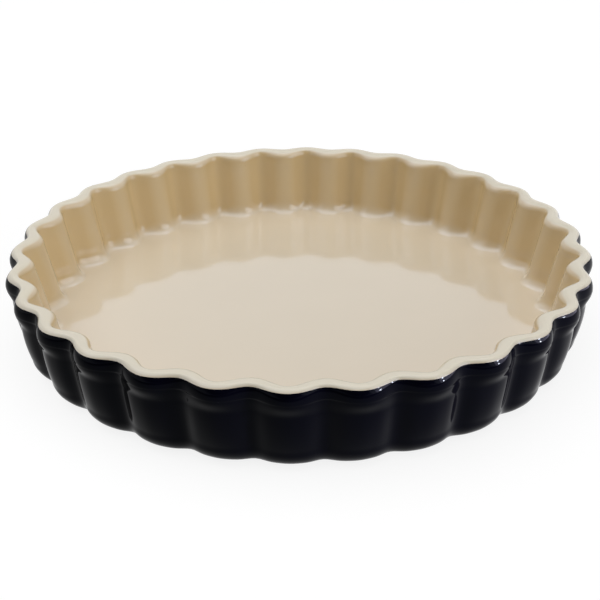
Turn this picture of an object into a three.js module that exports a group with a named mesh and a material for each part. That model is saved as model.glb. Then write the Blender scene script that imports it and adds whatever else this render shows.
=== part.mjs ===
import * as THREE from 'three';

// Fluted pie dish in glazed stoneware: a clay body, cream glaze inside, black glaze outside.
// Millimetres, +Z up. The foot ring stands on z = 0, centred on the Z axis, with a lobe facing -Y.

// Overall size
const RIM_DIAMETER = 280.8; // across the belly of the collar, midway between lobes and valleys
const HEIGHT = 42;
const GLAZE_THICKNESS = 0.5;

// Rim and collar, with widths counted inwards and heights down from the top
const RIM_SHOULDER = 1.8; // from the belly of the collar in to the flat of the rim
const RIM_WIDTH = 4.05; // the flat of the rim
const RIM_ROUND_WIDTH = 2.5; // rounding of the rim's inner edge
const RIM_ROUND_HEIGHT = 5;
const BELLY_DROP = 4.6;
const COLLAR_HEIGHT = 9;
const COLLAR_TUCK = 1.2; // from the belly in to the lower edge of the collar
const COLLAR_FILLET_WIDTH = 1.1; // from the collar's lower edge in to the wall
const COLLAR_FILLET_HEIGHT = 3.4;

// Wall, floor and bottom edge
const WALL_LEAN = 1.9; // how far the outside leans in on its way down
const WALL_BOW = 2; // above 1 the outside bellies out a little on the way
const INSIDE_LEAN = 5.25;
const FLOOR_THICKNESS = 4.3;
const FLOOR_FILLET_WIDTH = 4.6;
const FLOOR_FILLET_HEIGHT = 5;
const BOTTOM_ROUND_WIDTH = 7.9;
const BOTTOM_ROUND_HEIGHT = 9;

// Flutes, with depths counted from the middle of the wave to a lobe or a valley
const FLUTE_COUNT = 30;
const FLUTE_DEPTH_INSIDE = 3.45;
const FLUTE_DEPTH_RIM_INNER = 2.25;
const FLUTE_DEPTH_RIM_OUTER = 1.55;
const FLUTE_DEPTH_COLLAR = 2.5;
const FLUTE_DEPTH_WALL = 2.5; // just below the collar
const FLUTE_DEPTH_WALL_FOOT = 1.6;
const FLUTE_DEPTH_BOTTOM = 1.1;

// Form of the wave: a fuller one has broad lobes and tight valleys, a creased one straight flanks
const PLAIN_WAVE = { fullness: 0, crease: 0 };
const INSIDE_WAVE = { fullness: -0.12, crease: 0.05 };
const COLLAR_WAVE = { fullness: 0.25, crease: 0.02 };
const WALL_WAVE = { fullness: 0.4, crease: 0.07 };

// Foot ring and bare clay around it
const FOOT_DIAMETER = 240;
const FOOT_WIDTH = 4.5;
const FOOT_STANDOFF = 1.2; // from the table up to the black bottom
const BARE_STRIP = 2; // clay left bare on each side of the foot ring

// Facets around the dish, and along each part of its profile
const STEPS_PER_FLUTE = 6;
const STEPS_AROUND = FLUTE_COUNT * STEPS_PER_FLUTE;
const FILLET_STEPS = 2;
const RIM_STEPS = 2;
const COLLAR_STEPS = 2;
const WALL_STEPS = 2;
const BOTTOM_STEPS = 3;

// Colours and how matt each surface is
const CLAY_COLOR = 0xc9b699;
const CREAM_COLOR = 0xd8ccb2;
const BLACK_COLOR = 0x15161b;
const CLAY_ROUGHNESS = 0.85;
const GLAZE_ROUGHNESS = 0.12;

const QUARTER_TURN = Math.PI / 2;

// Levels that follow from the sizes above
const floorLevel = FOOT_STANDOFF + FLOOR_THICKNESS;
const clayBottomLevel = FOOT_STANDOFF + GLAZE_THICKNESS;
const collarEdgeLevel = HEIGHT - COLLAR_HEIGHT;

// Radii that follow from them, midway between lobes and valleys
const bellyRadius = RIM_DIAMETER / 2;
const rimOuterRadius = bellyRadius - RIM_SHOULDER;
const rimInnerRadius = rimOuterRadius - RIM_WIDTH;
const insideTopRadius = rimInnerRadius - RIM_ROUND_WIDTH;
const insideFootRadius = insideTopRadius - INSIDE_LEAN;
const floorRadius = insideFootRadius - FLOOR_FILLET_WIDTH;
const collarEdgeRadius = bellyRadius - COLLAR_TUCK;
const wallTopRadius = collarEdgeRadius - COLLAR_FILLET_WIDTH;
const wallFootRadius = wallTopRadius - WALL_LEAN;
const bottomRadius = wallFootRadius - BOTTOM_ROUND_WIDTH;
const footOuterRadius = FOOT_DIAMETER / 2;
const footInnerRadius = footOuterRadius - FOOT_WIDTH;

// One ring of the surface around the dish: radius midway, height, flute depth and form of the wave
function ring(radius, height, depth = 0, wave = PLAIN_WAVE) {
  return { radius, height, depth, ...wave };
}

// Value between two sizes, with share running from 0 to 1
function between(first, second, share) {
  return first + (second - first) * share;
}

// Ring between two others: out is the share of the way for its radius, up the share for its height
function blend(first, second, out, up) {
  return {
    radius: between(first.radius, second.radius, out),
    height: between(first.height, second.height, up),
    depth: between(first.depth, second.depth, out),
    fullness: between(first.fullness, second.fullness, out),
    crease: between(first.crease, second.crease, out),
  };
}

// Shares from one step along a curve to its end, for example 1/3, 2/3 and 1
function shares(steps) {
  return Array.from({ length: steps }, (_, index) => (index + 1) / steps);
}

// Rings after the first one, along a quarter round that starts level and ends upright
function levelToUpright(first, second, steps) {
  const turns = shares(steps).map((share) => share * QUARTER_TURN);
  return turns.map((turn) => blend(first, second, Math.sin(turn), 1 - Math.cos(turn)));
}

// Rings after the first one, along a quarter round that starts upright and ends level
function uprightToLevel(first, second, steps) {
  const turns = shares(steps).map((share) => share * QUARTER_TURN);
  return turns.map((turn) => blend(first, second, 1 - Math.cos(turn), Math.sin(turn)));
}

// Outer edge of the flat of the rim
function rimEdge() {
  return ring(rimOuterRadius, HEIGHT, FLUTE_DEPTH_RIM_OUTER);
}

// Glazed surface of the inside, from the middle of the floor up to the flat of the rim
function insideSurface() {
  const footLevel = floorLevel + FLOOR_FILLET_HEIGHT;
  const topLevel = HEIGHT - RIM_ROUND_HEIGHT;
  const floorEdge = ring(floorRadius, floorLevel, FLUTE_DEPTH_INSIDE, INSIDE_WAVE);
  const foot = ring(insideFootRadius, footLevel, FLUTE_DEPTH_INSIDE, INSIDE_WAVE);
  const top = ring(insideTopRadius, topLevel, FLUTE_DEPTH_INSIDE, INSIDE_WAVE);
  const rimInner = ring(rimInnerRadius, HEIGHT, FLUTE_DEPTH_RIM_INNER);
  return [
    ring(0, floorLevel),
    floorEdge,
    ...levelToUpright(floorEdge, foot, FILLET_STEPS),
    top,
    ...uprightToLevel(top, rimInner, RIM_STEPS),
    rimEdge(),
  ];
}

// Upper half of the collar, from the flat of the rim to the belly. Its first ring is the glaze line
function upperCollar() {
  const belly = ring(bellyRadius, HEIGHT - BELLY_DROP, FLUTE_DEPTH_COLLAR, COLLAR_WAVE);
  return levelToUpright(rimEdge(), belly, COLLAR_STEPS);
}

// Glazed surface below the belly of the collar, down and in to the bare clay by the foot ring
function outerWall(belly) {
  const topLevel = collarEdgeLevel - COLLAR_FILLET_HEIGHT;
  const footLevel = FOOT_STANDOFF + BOTTOM_ROUND_HEIGHT;
  const edge = ring(collarEdgeRadius, collarEdgeLevel, FLUTE_DEPTH_COLLAR, WALL_WAVE);
  const top = ring(wallTopRadius, topLevel, FLUTE_DEPTH_WALL, WALL_WAVE);
  const foot = ring(wallFootRadius, footLevel, FLUTE_DEPTH_WALL_FOOT, WALL_WAVE);
  const bottom = ring(bottomRadius, FOOT_STANDOFF, FLUTE_DEPTH_BOTTOM, WALL_WAVE);
  return [
    ...uprightToLevel(belly, edge, COLLAR_STEPS),
    top,
    ...shares(WALL_STEPS).map((share) => blend(top, foot, share ** WALL_BOW, share)),
    ...uprightToLevel(foot, bottom, BOTTOM_STEPS),
    ring(footOuterRadius + BARE_STRIP, FOOT_STANDOFF),
  ];
}

// The same rings moved into the dish by a thickness, square to the profile at each one
function inset(rings, thickness) {
  const directions = rings.slice(1).map((next, index) => {
    const here = rings[index];
    return new THREE.Vector2(next.radius - here.radius, next.height - here.height).normalize();
  });
  return rings.map((here, index) => {
    const before = directions[Math.max(index - 1, 0)];
    const after = directions[Math.min(index, directions.length - 1)];
    const along = before.clone().add(after);
    const shift = (2 * thickness) / along.lengthSq();
    return { ...here, radius: here.radius + along.y * shift, height: here.height - along.x * shift };
  });
}

// Radius of a ring at an angle around the dish
function flutedRadius({ radius, depth, fullness, crease }, angle) {
  const phase = FLUTE_COUNT * angle;
  const creased = (Math.cos(phase) + crease * Math.cos(3 * phase)) / (1 + crease);
  return radius + depth * (creased + fullness * Math.sin(phase) ** 2);
}

// Splits every four-sided facet along its shorter diagonal, so that touching pieces split alike
function splitShortWay(geometry) {
  const index = geometry.index;
  const points = geometry.attributes.position;
  const corner = (entry) => new THREE.Vector3().fromBufferAttribute(points, index.getX(entry));
  for (let start = 0; start < index.count; start += 6) {
    const [a, b, d, c] = [0, 1, 2, 3].map((offset) => index.getX(start + offset));
    const across = corner(start).distanceTo(corner(start + 3));
    const standing = corner(start + 1).distanceTo(corner(start + 2));
    if (across < standing) {
      [a, b, c, a, c, d].forEach((vertex, offset) => index.setX(start + offset, vertex));
    }
  }
}

// Solid with the given rings as its outline, turned around the Z axis and fluted
function flutedSolid(rings) {
  const outline = rings.map(({ radius, height }) => new THREE.Vector2(radius, height));
  const geometry = new THREE.LatheGeometry(outline, STEPS_AROUND);
  const points = geometry.attributes.position;
  for (let vertex = 0; vertex < points.count; vertex += 1) {
    const step = Math.floor(vertex / rings.length) % STEPS_AROUND;
    const angle = (2 * Math.PI * step) / STEPS_AROUND;
    const radius = flutedRadius(rings[vertex % rings.length], angle);
    points.setX(vertex, radius * Math.sin(angle));
    points.setZ(vertex, radius * Math.cos(angle));
  }
  splitShortWay(geometry);
  geometry.rotateX(Math.PI / 2);
  geometry.computeVertexNormals();
  return geometry;
}

// Named piece of the dish with its own material
function piece(name, rings, color, roughness) {
  const material = new THREE.MeshStandardMaterial({ color, roughness, metalness: 0 });
  const mesh = new THREE.Mesh(flutedSolid(rings), material);
  mesh.name = name;
  return mesh;
}

// Glaze surfaces, which meet at the glaze line, and the clay under them
const collar = upperCollar();
const inside = [...insideSurface(), collar[0]];
const outside = [...collar, ...outerWall(collar.at(-1))];
const clay = inset([...inside, ...outside.slice(1)], GLAZE_THICKNESS);
const clayInside = clay.slice(0, inside.length);
const clayOutside = clay.slice(inside.length - 1);

// Clay body: recess under the floor, foot ring, outside from the bottom up, inside from the rim down
const bodyRings = [
  ring(0, clayBottomLevel),
  ring(footInnerRadius, clayBottomLevel),
  ring(footInnerRadius, 0),
  ring(footOuterRadius, 0),
  ring(footOuterRadius, clayBottomLevel),
  ...clay.toReversed(),
];

// Cream coat: clay side from the middle of the floor to the glaze line, then back over the surface
const interiorRings = [...clayInside, ...inside.toReversed()];

// Black coat: surface from the bare clay up to the glaze line, then back down the clay side
const exteriorRings = [...outside.toReversed(), ...clayOutside, outside.at(-1)];

// Black coat in the recess, stopping short of the foot ring
const undersideRadius = footInnerRadius - BARE_STRIP;
const undersideRings = [
  ring(0, FOOT_STANDOFF),
  ring(undersideRadius, FOOT_STANDOFF),
  ring(undersideRadius, clayBottomLevel),
  ring(0, clayBottomLevel),
];

const group = new THREE.Group();
group.name = 'pie_dish';
group.add(piece('stoneware_body', bodyRings, CLAY_COLOR, CLAY_ROUGHNESS));
group.add(piece('interior_glaze', interiorRings, CREAM_COLOR, GLAZE_ROUGHNESS));
group.add(piece('exterior_glaze', exteriorRings, BLACK_COLOR, GLAZE_ROUGHNESS));
group.add(piece('underside_glaze', undersideRings, BLACK_COLOR, GLAZE_ROUGHNESS));

export default group;
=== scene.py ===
import math
from dataclasses import dataclass, fields, replace

import bpy
import bmesh
import numpy as np
from mathutils import Matrix, Vector


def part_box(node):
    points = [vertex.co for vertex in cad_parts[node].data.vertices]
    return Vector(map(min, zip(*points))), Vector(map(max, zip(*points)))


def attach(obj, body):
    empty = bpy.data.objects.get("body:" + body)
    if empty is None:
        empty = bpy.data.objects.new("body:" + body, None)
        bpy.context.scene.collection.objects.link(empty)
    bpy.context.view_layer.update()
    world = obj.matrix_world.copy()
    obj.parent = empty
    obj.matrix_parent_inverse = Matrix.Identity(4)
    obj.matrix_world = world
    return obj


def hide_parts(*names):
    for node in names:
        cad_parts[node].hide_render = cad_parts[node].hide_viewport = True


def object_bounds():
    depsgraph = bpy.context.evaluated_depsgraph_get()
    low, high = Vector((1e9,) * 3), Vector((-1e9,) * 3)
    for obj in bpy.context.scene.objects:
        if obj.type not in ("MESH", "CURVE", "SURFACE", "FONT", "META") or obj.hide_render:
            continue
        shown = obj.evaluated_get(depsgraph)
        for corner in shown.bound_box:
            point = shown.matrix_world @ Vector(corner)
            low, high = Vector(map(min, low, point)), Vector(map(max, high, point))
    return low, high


# Fluted pie dish in glazed stoneware. Metres, +Z up, foot ring on z = 0, a lobe of the wave facing -Y.
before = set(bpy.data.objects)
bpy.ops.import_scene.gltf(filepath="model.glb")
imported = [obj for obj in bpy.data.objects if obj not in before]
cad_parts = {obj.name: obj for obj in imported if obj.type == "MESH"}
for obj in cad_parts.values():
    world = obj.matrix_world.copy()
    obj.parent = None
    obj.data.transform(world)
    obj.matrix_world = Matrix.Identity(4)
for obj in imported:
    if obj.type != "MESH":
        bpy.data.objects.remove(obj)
cad_low, cad_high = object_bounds()

MM = 0.001

# Levels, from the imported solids
HEIGHT = cad_high.z
GLAZE = 0.5 * MM
FLOOR_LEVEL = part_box("interior_glaze")[0].z + GLAZE
BOTTOM_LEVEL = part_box("underside_glaze")[0].z
CLAY_BOTTOM = BOTTOM_LEVEL + GLAZE

# Heights of the roundings, and how far below the top the outside changes
FLOOR_ROUND_HEIGHT = 8.5 * MM
RIM_ROUND_HEIGHT = 5 * MM
BELLY_DROP = 6 * MM
COLLAR_FOOT_DROP = 6.5 * MM
WALL_TOP_DROP = 13.4 * MM
BOTTOM_ROUND_HEIGHT = 9 * MM

# Foot ring and the strips of bare clay beside it
FOOT_RADIUS = 120 * MM
FOOT_WIDTH = 4.5 * MM
FOOT_ROUND = 0.6 * MM
FOOT_ROUND_MIDDLE = 0.3 * FOOT_ROUND  # how far the middle of the rounding is from both its faces
BARE_STRIP = 2 * MM

# The wave around the dish
FLUTE_COUNT = 30
STEPS_PER_FLUTE = 16
STEPS_AROUND = FLUTE_COUNT * STEPS_PER_FLUTE

# Fullness and crease of the wave: fullness makes lobes broad and valleys tight, crease sharpens both
INSIDE_WAVE = (-0.22, 0.0)
RIM_WAVE = (0.06, 0.0)
COLLAR_WAVE = (0.25, 0.02)
WALL_WAVE = (0.42, 0.07)

# How far the lobes belly out on the wall, and how square the roundings are: below 1 is squarer
LOBE_BOW = 2.0
RIM_POWER = 0.8
BOTTOM_POWER = 1.12

# Steps along each part of the profile
FLOOR_STEPS = 12
FLOOR_ROUND_STEPS = 8
INSIDE_STEPS = 8
RIM_STEPS = 14
COLLAR_STEPS = 19
GLAZE_LINE_STEP = 8  # the two glazes meet this many steps down the collar
COLLAR_FOOT_STEPS = 3
UNDERCUT_STEPS = 12
WALL_STEPS = 12
BOTTOM_STEPS = 11
BASE_STEPS = 10

# Unevenness of the line where the glazes meet, as share, turns and offset of each of its waves
GLAZE_LINE_DRIFT = 0.25 * MM
DRIFT_WAVES = ((0.6, 1, 0), (0.4, 7, 1))

# Share of the painted wall shade taken off the inward ridges, a painted highlight that makes them paler
RIDGE_PAINTED_HIGHLIGHT = 0.24

# Room between clay and coat, points that count as one, and edges that stay sharp
FIT_GAP = 0.02 * MM
SAME_POINT = 0.0001 * MM
SHARP_EDGE = math.radians(50)

QUARTER_TURN = math.pi / 2


# Profile of the glazed surface


@dataclass
class Ring:
    """One ring of the surface, by its radius at the lobes and at the valleys.

    The shade value is 1 on the upright inner wall, where the cream is painted darker and warmer as
    shade and its gloss is duller, and slide is how far the ring follows the uneven glaze line.
    """

    lobe: float
    valley: float
    height: float
    fullness: float = 0.0
    crease: float = 0.0
    painted_shade: float = 0.0
    slide: float = 0.0


def fluted(lobe, valley, height, wave, painted_shade=0.0):
    """Ring with its two radii given in millimetres."""
    return Ring(lobe * MM, valley * MM, height, *wave, painted_shade)


def flat_ring(radius, height):
    return Ring(radius, radius, height)


def blend(first, second, out, up, lobe_out=None):
    """Ring between two others: out is the share of the way for its radius, up for its height."""
    shares = {"height": up, "lobe": out if lobe_out is None else lobe_out}
    values = {}
    for field in fields(Ring):
        start = getattr(first, field.name)
        end = getattr(second, field.name)
        values[field.name] = start + (end - start) * shares.get(field.name, out)
    return Ring(**values)


def steps_to_one(count):
    return [index / count for index in range(1, count + 1)]


def straight(first, second, count, lobe_bow=1.0):
    """Rings after the first, up to the second. A lobe_bow above 1 makes the lobes belly out."""
    return [blend(first, second, share, share, share**lobe_bow) for share in steps_to_one(count)]


def level_to_upright(first, second, count):
    """Quarter round that leaves the first ring level."""
    turns = [share * QUARTER_TURN for share in steps_to_one(count)]
    return [blend(first, second, math.sin(turn), 1 - math.cos(turn)) for turn in turns]


def upright_to_level(first, second, count, power):
    """Quarter round that leaves the first ring upright. A power below 1 makes it squarer."""
    turns = [share * QUARTER_TURN for share in steps_to_one(count)]
    return [blend(first, second, 1 - math.cos(turn) ** power, math.sin(turn) ** power) for turn in turns]


def s_curve(first, second, count):
    """Rings after the first, leaving it upright and reaching the second upright."""
    shares = steps_to_one(count)
    return [blend(first, second, share * share * (3 - 2 * share), share) for share in shares]


CENTRE = flat_ring(0, FLOOR_LEVEL)
FLOOR_EDGE = fluted(125.1, 119.0, FLOOR_LEVEL, INSIDE_WAVE)
# The wall's rings take the full painted shade of the upright inner wall
INSIDE_FOOT = fluted(130.8, 124.3, FLOOR_LEVEL + FLOOR_ROUND_HEIGHT, INSIDE_WAVE, painted_shade=1.0)
INSIDE_TOP = fluted(135.4, 129.0, HEIGHT - RIM_ROUND_HEIGHT, INSIDE_WAVE, painted_shade=1.0)
RIM_CROWN = fluted(139.4, 136.1, HEIGHT, RIM_WAVE)
COLLAR_BELLY = fluted(142.8, 137.9, HEIGHT - BELLY_DROP, COLLAR_WAVE)
COLLAR_FOOT = fluted(142.7, 137.7, HEIGHT - COLLAR_FOOT_DROP, COLLAR_WAVE)
WALL_TOP = fluted(140.6, 136.9, HEIGHT - WALL_TOP_DROP, WALL_WAVE)
WALL_FOOT = fluted(137.8, 134.6, BOTTOM_LEVEL + BOTTOM_ROUND_HEIGHT, WALL_WAVE)
BOTTOM_EDGE = fluted(129.4, 127.2, BOTTOM_LEVEL, WALL_WAVE)
BARE_EDGE = flat_ring(FOOT_RADIUS + BARE_STRIP, BOTTOM_LEVEL)


def glazed_rings():
    """Rings of the cream surface from the middle of the floor, and of the black one down to the foot."""
    inside = [CENTRE]
    inside += straight(CENTRE, FLOOR_EDGE, FLOOR_STEPS)
    inside += level_to_upright(FLOOR_EDGE, INSIDE_FOOT, FLOOR_ROUND_STEPS)
    inside += straight(INSIDE_FOOT, INSIDE_TOP, INSIDE_STEPS)
    inside += upright_to_level(INSIDE_TOP, RIM_CROWN, RIM_STEPS, RIM_POWER)
    collar = level_to_upright(RIM_CROWN, COLLAR_BELLY, COLLAR_STEPS)
    for step, ring in enumerate(collar):
        ring.slide = math.sin(math.pi * (step + 1) / COLLAR_STEPS) ** 2
    inside += collar[:GLAZE_LINE_STEP]
    outside = collar[GLAZE_LINE_STEP - 1 :]
    outside += straight(COLLAR_BELLY, COLLAR_FOOT, COLLAR_FOOT_STEPS)
    outside += s_curve(COLLAR_FOOT, WALL_TOP, UNDERCUT_STEPS)
    outside += straight(WALL_TOP, WALL_FOOT, WALL_STEPS, LOBE_BOW)
    outside += upright_to_level(WALL_FOOT, BOTTOM_EDGE, BOTTOM_STEPS, BOTTOM_POWER)
    outside.append(BARE_EDGE)
    return inside, outside


def foot_rings():
    """Rings of the bare clay below, from the middle out over the foot ring."""
    inner = FOOT_RADIUS - FOOT_WIDTH
    level = CLAY_BOTTOM + FIT_GAP
    return [
        flat_ring(0, level),
        flat_ring(inner, level),
        flat_ring(inner, FOOT_ROUND),
        flat_ring(inner + FOOT_ROUND_MIDDLE, FOOT_ROUND_MIDDLE),
        flat_ring(inner + FOOT_ROUND, 0),
        flat_ring(FOOT_RADIUS - FOOT_ROUND, 0),
        flat_ring(FOOT_RADIUS - FOOT_ROUND_MIDDLE, FOOT_ROUND_MIDDLE),
        flat_ring(FOOT_RADIUS, FOOT_ROUND),
        flat_ring(FOOT_RADIUS, level),
    ]


def base_rings():
    """Rings of the flat coat inside the foot ring, out along its lower face and back along the clay."""
    radius = FOOT_RADIUS - FOOT_WIDTH - BARE_STRIP
    rings = [flat_ring(0, BOTTOM_LEVEL)]
    rings += straight(rings[0], flat_ring(radius, BOTTOM_LEVEL), BASE_STEPS)
    rings += [flat_ring(radius, CLAY_BOTTOM), flat_ring(0, CLAY_BOTTOM)]
    return rings


def inset(rings, thickness):
    """The same rings moved into the dish, square to the middle of the profile at each one."""
    points = np.array([((ring.lobe + ring.valley) / 2, ring.height) for ring in rings])
    steps = np.diff(points, axis=0)
    steps /= np.linalg.norm(steps, axis=1)[:, None]
    before = np.vstack([steps[:1], steps])
    after = np.vstack([steps, steps[-1:]])
    along = before + after
    shift = along * (2 * thickness / (along**2).sum(axis=1))[:, None]
    moved = []
    for ring, (across, rise) in zip(rings, shift):
        lobe = max(ring.lobe + rise, 0.0)
        valley = max(ring.valley + rise, 0.0)
        moved.append(replace(ring, lobe=lobe, valley=valley, height=ring.height - across))
    return moved


# Meshes


def swept_points(rings):
    """Places of the rings' points, as (ring, step, xyz), and the painted wall shade at each point."""
    angle = np.arange(STEPS_AROUND) * 2 * math.pi / STEPS_AROUND
    phase = FLUTE_COUNT * angle
    table = np.array([[getattr(ring, field.name) for field in fields(Ring)] for ring in rings])
    lobe, valley, height, fullness, crease, painted_shade, slide = (column[:, None] for column in table.T)
    wave = (np.cos(phase) + crease * np.cos(3 * phase)) / (1 + crease) + fullness * np.sin(phase) ** 2
    reach = (lobe + valley) / 2 + (lobe - valley) / 2 * wave
    drift = sum(share * np.sin(turns * angle + offset) for share, turns, offset in DRIFT_WAVES)
    level = height + slide * GLAZE_LINE_DRIFT * drift
    places = np.stack([reach * np.sin(angle), -reach * np.cos(angle), level], axis=-1)
    # Painted highlight: the inward ridges get less of the painted wall shade
    return places, painted_shade * (1 - RIDGE_PAINTED_HIGHLIGHT * (1 - wave) / 2)


def swept_mesh(name, rings, closed):
    """Closed solid with the rings as its outline: they end on the axis, or come back to the first."""
    places, painted_shade = swept_points(rings)
    count = len(rings)
    index = np.arange(count * STEPS_AROUND).reshape(count, STEPS_AROUND)
    rows = np.vstack([index, index[:1]]) if closed else index
    beside = np.roll(rows, -1, axis=1)
    faces = np.stack([rows[:-1], beside[:-1], beside[1:], rows[1:]], axis=-1).reshape(-1, 4)
    mesh = bpy.data.meshes.new(name)
    mesh.from_pydata(places.reshape(-1, 3).tolist(), [], faces.tolist())
    # Painted wall shade of each point, read by the cream glaze
    attribute = mesh.attributes.new("painted_shade", "FLOAT", "POINT")
    attribute.data.foreach_set("value", painted_shade.reshape(-1).astype(np.float32))
    work = bmesh.new()
    work.from_mesh(mesh)
    bmesh.ops.remove_doubles(work, verts=work.verts, dist=SAME_POINT)
    work.to_mesh(mesh)
    work.free()
    mesh.shade_smooth()
    mesh.set_sharp_from_angle(angle=SHARP_EDGE)
    return mesh


def placed(obj):
    """The object, put into the scene."""
    bpy.context.scene.collection.objects.link(obj)
    return obj


def piece(name, rings, closed, material, node):
    """Adds a piece to the dish in place of one of the solids."""
    obj = placed(bpy.data.objects.new(name, swept_mesh(name, rings, closed)))
    obj.data.materials.append(material)
    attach(obj, "root")
    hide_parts(node)
    return obj


# Materials


class Nodes:
    """The node tree of a material or a world, with short calls to add and join nodes."""

    def __init__(self, owner):
        owner.use_nodes = True
        self.tree = owner.node_tree
        self.coordinates = self.add("ShaderNodeTexCoord").outputs

    def add(self, kind, **settings):
        node = self.tree.nodes.new(kind)
        for key, value in settings.items():
            setattr(node, key, value)
        return node

    def feed(self, socket, value):
        """Joins a socket to another one, or sets it to a number or a colour."""
        if isinstance(value, bpy.types.NodeSocket):
            self.tree.links.new(value, socket)
        elif isinstance(value, tuple):
            socket.default_value = (*value, 1.0)
        else:
            socket.default_value = value

    def shade(self, shader, settings):
        """Feeds the named inputs of the tree's own shader."""
        inputs = self.tree.nodes[shader].inputs
        for name, value in settings.items():
            self.feed(inputs[name], value)

    def noise(self, scale, detail=3.0):
        node = self.add("ShaderNodeTexNoise")
        self.feed(node.inputs["Vector"], self.coordinates["Object"])
        self.feed(node.inputs["Scale"], scale)
        self.feed(node.inputs["Detail"], detail)
        return node.outputs["Fac"]

    def spots(self, scale, size):
        node = self.add("ShaderNodeTexVoronoi")
        self.feed(node.inputs["Vector"], self.coordinates["Object"])
        self.feed(node.inputs["Scale"], scale)
        return self.ramp(node.outputs["Distance"], (size, size / 2), (0.0, 1.0))

    def along(self, axis):
        node = self.add("ShaderNodeSeparateXYZ")
        self.feed(node.inputs[0], self.coordinates["Object"])
        return node.outputs[axis]

    def attribute(self, name):
        return self.add("ShaderNodeAttribute", attribute_name=name).outputs["Fac"]

    def ramp(self, value, limits, results):
        """Goes from the first result to the second while the value goes from limit to limit."""
        node = self.add("ShaderNodeMapRange")
        self.feed(node.inputs["Value"], value)
        for end, limit, result in zip(("Min", "Max"), limits, results):
            self.feed(node.inputs["From " + end], limit)
            self.feed(node.inputs["To " + end], result)
        return node.outputs["Result"]

    def calculate(self, operation, first, second):
        node = self.add("ShaderNodeMath", operation=operation)
        self.feed(node.inputs[0], first)
        self.feed(node.inputs[1], second)
        return node.outputs[0]

    def mix(self, factor, first, second):
        node = self.add("ShaderNodeMix", data_type="RGBA")
        self.feed(node.inputs["Factor"], factor)
        self.feed(node.inputs["A"], first)
        self.feed(node.inputs["B"], second)
        return node.outputs["Result"]

    def bump(self, value, strength, distance):
        node = self.add("ShaderNodeBump")
        self.feed(node.inputs["Height"], value)
        self.feed(node.inputs["Strength"], strength)
        self.feed(node.inputs["Distance"], distance)
        return node.outputs["Normal"]


# Colours: two tones that a noise mixes, and single ones
CREAM_THICK = (0.86, 0.745, 0.575), (0.83, 0.72, 0.55)
# Darker, warmer cream painted on the upright inner wall as shade
CREAM_PAINTED_SHADE = (0.76, 0.584, 0.33), (0.73, 0.557, 0.306)
CREAM_RIM = (0.88, 0.81, 0.66)
CREAM_SPECK = (0.42, 0.32, 0.2)
BLACK = (0.0004, 0.0004, 0.0018), (0.0007, 0.0007, 0.0024)
CLAY = (0.62, 0.50, 0.36), (0.50, 0.39, 0.27)
CLAY_SPECK = (0.22, 0.15, 0.1)

# Tint of what the glazes mirror, their refraction, and how much they mirror: 0.5 is what it gives
CREAM_MIRROR_TINT = (0.75, 0.84, 1.0)
BLACK_MIRROR_TINT = (0.76, 0.83, 1.0)
CREAM_REFRACTION = 1.9
BLACK_REFRACTION = 1.5
FLOOR_GLOSS = 0.5
WALL_GLOSS = 0.3
RIM_GLOSS_SHARE = 0.35
BLACK_GLOSS = 0.05

# The rim's lighter, greener cream starts and is full this far below the top
RIM_CREAM_DROP = 1.3 * MM, 0.6 * MM

# Levels of the wall's shade value where the painted shade, or the duller gloss, starts and is full
PAINTED_SHADE_RANGE = (0.42, 0.85)
THIN_GLOSS = (0.05, 0.3)

# Slight waves of the glazes' surface, and pores of the clay
GLAZE_WAVE = {"strength": 0.12, "distance": 0.6 * MM}
CLAY_PORES = {"strength": 0.5, "distance": 0.2 * MM}

# Range of a noise's middle, over which roughness goes from smooth to rough
NOISE_MIDDLE = (0.3, 0.7)


def cream_glaze():
    """Painted darker and warmer on the upright wall as shade, less glossy there, and lighter and greener on
    the rim.
    """
    material = bpy.data.materials.new("cream_glaze")
    nodes = Nodes(material)
    # The cream is painted darker and warmer on the upright wall as shade
    wall_shade_mask = nodes.attribute("painted_shade")
    share = nodes.ramp(wall_shade_mask, PAINTED_SHADE_RANGE, results=(0.0, 1.0))
    rim_limits = tuple(HEIGHT - drop for drop in RIM_CREAM_DROP)
    rim = nodes.ramp(nodes.along("Z"), rim_limits, results=(0.0, 1.0))
    thick = nodes.mix(nodes.noise(scale=30), *CREAM_THICK)
    painted_shade = nodes.mix(nodes.noise(scale=55), *CREAM_PAINTED_SHADE)
    colour = nodes.mix(rim, nodes.mix(share, thick, painted_shade), CREAM_RIM)
    patches = nodes.ramp(nodes.noise(scale=90), limits=(0.5, 0.62), results=(0.0, 0.35))
    speck = nodes.calculate("MULTIPLY", nodes.spots(scale=420, size=0.09), patches)
    gloss = nodes.ramp(wall_shade_mask, THIN_GLOSS, results=(FLOOR_GLOSS, WALL_GLOSS))
    rim_gloss = nodes.ramp(rim, limits=(0.0, 1.0), results=(1.0, RIM_GLOSS_SHARE))
    surface = {
        "Base Color": nodes.mix(speck, colour, CREAM_SPECK),
        "Roughness": nodes.ramp(nodes.noise(scale=140), NOISE_MIDDLE, results=(0.06, 0.1)),
        "IOR": CREAM_REFRACTION,
        "Specular IOR Level": nodes.calculate("MULTIPLY", gloss, rim_gloss),
        "Specular Tint": CREAM_MIRROR_TINT,
        "Normal": nodes.bump(nodes.noise(scale=45, detail=1.0), **GLAZE_WAVE),
    }
    nodes.shade("Principled BSDF", surface)
    return material


def black_glaze():
    material = bpy.data.materials.new("black_glaze")
    nodes = Nodes(material)
    surface = {
        "Base Color": nodes.mix(nodes.noise(scale=60), *BLACK),
        "Roughness": nodes.ramp(nodes.noise(scale=160), NOISE_MIDDLE, results=(0.04, 0.08)),
        "IOR": BLACK_REFRACTION,
        "Specular IOR Level": BLACK_GLOSS,
        "Specular Tint": BLACK_MIRROR_TINT,
        "Normal": nodes.bump(nodes.noise(scale=50, detail=1.0), **GLAZE_WAVE),
    }
    nodes.shade("Principled BSDF", surface)
    return material


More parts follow.
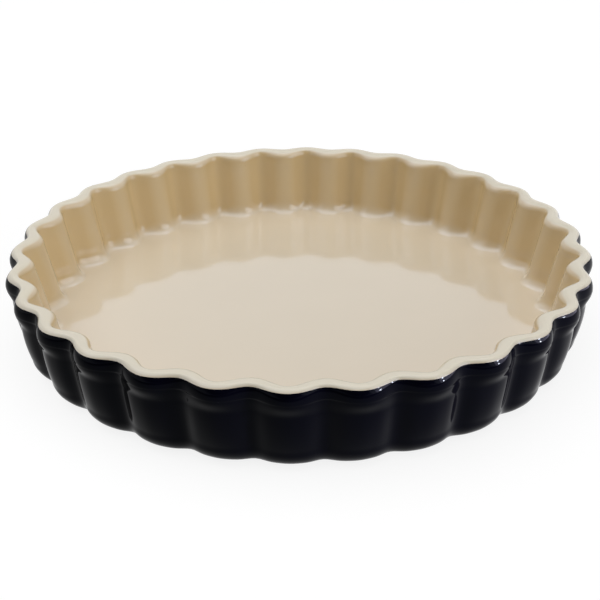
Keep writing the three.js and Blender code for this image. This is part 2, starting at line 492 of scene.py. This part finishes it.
def bare_clay():
    material = bpy.data.materials.new("bare_clay")
    nodes = Nodes(material)
    colour = nodes.mix(nodes.noise(scale=220, detail=6.0), *CLAY)
    patches = nodes.ramp(nodes.noise(scale=300), limits=(0.45, 0.6), results=(0.0, 0.6))
    speck = nodes.calculate("MULTIPLY", nodes.spots(scale=700, size=0.2), patches)
    surface = {
        "Base Color": nodes.mix(speck, colour, CLAY_SPECK),
        "Roughness": nodes.ramp(nodes.noise(scale=400), NOISE_MIDDLE, results=(0.75, 0.95)),
        "Normal": nodes.bump(nodes.noise(scale=1500, detail=5.0), **CLAY_PORES),
    }
    nodes.shade("Principled BSDF", surface)
    return material


# The dish

inside, outside = glazed_rings()
skin = inside + outside[1:]
coat_back = inset(skin, GLAZE)
clay_skin = inset(skin, GLAZE + FIT_GAP)
black = black_glaze()

cream_rings = coat_back[: len(inside)] + inside[::-1]
piece("cream_coat", cream_rings, False, cream_glaze(), "interior_glaze")

black_rings = outside[::-1] + coat_back[len(inside) - 1 :]
black_coat = piece("black_coat", black_rings, True, black, "exterior_glaze")

clay_rings = foot_rings() + clay_skin[::-1]
piece("clay_body", clay_rings, False, bare_clay(), "stoneware_body")

piece("base_coat", base_rings(), False, black, "underside_glaze")


# Studio

WHITE = (1.0, 1.0, 1.0)

# The sheet that the dish stands on: half its side, its surface, and the white added for the camera
SHEET_HALF = 4.0
SHEET_COLOUR = (0.2, 0.2, 0.2)
SHEET_ROUGHNESS = 0.9
SHEET_LIFT = 0.86

# In mirrors it is painted dark in front of the dish, and painted dimmer on the left
SHEET_FRONT = (-0.34, -0.27)
SHEET_FRONT_LEVELS = (0.05, 1.0)
SHEET_SIDE = (-0.3, 0.2)
SHEET_SIDE_LEVELS = (0.5, 1.0)

# The open room in mirrors: where it is, the cosines of its soft edge, and the levels outside and in it
ROOM_DIRECTION = (0.0, -0.766, 0.643)
ROOM_EDGE = (0.62, 0.8)
ROOM_LEVELS = (1.0, 0.07)

# Faint light from all around, and the tint of the light that only the black coat gets
WORLD_LIGHT = 0.06
SHEEN_COLOUR = (0.98, 0.9, 1.08)


def white_to_view(nodes, mirrored):
    """1 for the camera and through glass, the given level in mirrors, 0 for light that falls on the dish."""
    path = nodes.add("ShaderNodeLightPath").outputs
    seen = nodes.calculate("MAXIMUM", path["Is Camera Ray"], path["Is Transmission Ray"])
    in_mirrors = nodes.calculate("MULTIPLY", path["Is Glossy Ray"], mirrored)
    return nodes.calculate("MAXIMUM", seen, in_mirrors)


def sheet_material():
    material = bpy.data.materials.new("studio_floor")
    nodes = Nodes(material)
    # Painted shade seen only in mirrors: dark in front of the dish, dimmer on the left
    front = nodes.ramp(nodes.along("Y"), SHEET_FRONT, SHEET_FRONT_LEVELS)
    side = nodes.ramp(nodes.along("X"), SHEET_SIDE, SHEET_SIDE_LEVELS)
    mirrored = nodes.calculate("MULTIPLY", front, side)
    surface = {
        "Base Color": SHEET_COLOUR,
        "Roughness": SHEET_ROUGHNESS,
        "Specular IOR Level": 0.0,
        "Emission Color": WHITE,
        "Emission Strength": nodes.calculate("MULTIPLY", white_to_view(nodes, mirrored), SHEET_LIFT),
    }
    nodes.shade("Principled BSDF", surface)
    return material


def studio_floor():
    mesh = bpy.data.meshes.new("studio_floor")
    around = ((-1, -1), (1, -1), (1, 1), (-1, 1))
    corners = [(x * SHEET_HALF, y * SHEET_HALF, 0) for x, y in around]
    mesh.from_pydata(corners, [], [(0, 1, 2, 3)])
    mesh.materials.append(sheet_material())
    floor = placed(bpy.data.objects.new("studio_floor", mesh))


def studio_world():
    """White all around, but dim where the room is open, high up behind the camera."""
    world = bpy.data.worlds.new("studio")
    bpy.context.scene.world = world
    nodes = Nodes(world)
    towards_room = nodes.add("ShaderNodeVectorMath", operation="DOT_PRODUCT")
    nodes.feed(towards_room.inputs[0], nodes.coordinates["Generated"])
    towards_room.inputs[1].default_value = ROOM_DIRECTION
    mirrored = nodes.ramp(towards_room.outputs["Value"], ROOM_EDGE, ROOM_LEVELS)
    level = nodes.calculate("MAXIMUM", white_to_view(nodes, mirrored), WORLD_LIGHT)
    nodes.shade("Background", {"Color": WHITE, "Strength": level})


def sun(name, azimuth, elevation, strength, spread, colour=WHITE):
    """Soft light from far away, in degrees. Azimuth 0 is behind the camera, 90 to its right."""
    data = bpy.data.lights.new(name, "SUN")
    data.energy = strength
    data.angle = math.radians(spread)
    data.color = colour
    lamp = placed(bpy.data.objects.new(name, data))
    across = math.radians(azimuth)
    up = math.radians(elevation)
    towards = Vector((math.sin(across) * math.cos(up), -math.cos(across) * math.cos(up), math.sin(up)))
    lamp.rotation_mode = "QUATERNION"
    lamp.rotation_quaternion = towards.to_track_quat("Z", "Y")
    return lamp


def light_only(lamp, obj):
    """Keeps a lamp's light to one object."""
    lit = bpy.data.collections.new(lamp.name + "_lit")
    lit.objects.link(obj)
    lamp.light_linking.receiver_collection = lit


studio_floor()
studio_world()
sun("top_light", azimuth=270, elevation=79, strength=1.86, spread=80)
sun("right_light", azimuth=64, elevation=22, strength=0.85, spread=50)
sheen = sun("sheen", azimuth=86, elevation=14, strength=6.5, spread=60, colour=SHEEN_COLOUR)
upper_glint = sun("upper_glint", azimuth=69, elevation=22, strength=2.0, spread=5)
lower_glint = sun("lower_glint", azimuth=68, elevation=5, strength=2.0, spread=5)
for lamp in (sheen, upper_glint, lower_glint):
    light_only(lamp, black_coat)


# Camera, as far from the dish and turned as in the photograph, with angles in radians

PHOTO_SIDE = 600
FOCAL_PIXELS = 1021.7
SENSOR = 36.0  # in millimetres
CAMERA_REACH = 524.57 * MM
CAMERA_DROP = 34.45 * MM
CAMERA_PITCH = 0.4764
CAMERA_ROLL = -0.0084
CAMERA_TURN = math.radians(2.07)
CLIP_START = 10 * MM


def photo_camera():
    data = bpy.data.cameras.new("photo_camera")
    data.sensor_width = SENSOR
    data.lens = FOCAL_PIXELS / PHOTO_SIDE * SENSOR
    data.clip_start = CLIP_START
    camera = placed(bpy.data.objects.new("photo_camera", data))
    ahead = Vector((0, math.cos(CAMERA_PITCH), -math.sin(CAMERA_PITCH)))
    place = -ahead * CAMERA_REACH + Vector((0, 0, HEIGHT - CAMERA_DROP))
    upright = ahead.to_track_quat("-Z", "Y").to_matrix().to_4x4()
    rolled = upright @ Matrix.Rotation(CAMERA_ROLL, 4, "Z")
    camera.matrix_world = Matrix.Rotation(CAMERA_TURN, 4, "Z") @ Matrix.Translation(place) @ rolled
    bpy.context.scene.camera = camera


photo_camera()
bpy.context.scene.view_settings.view_transform = "Standard"
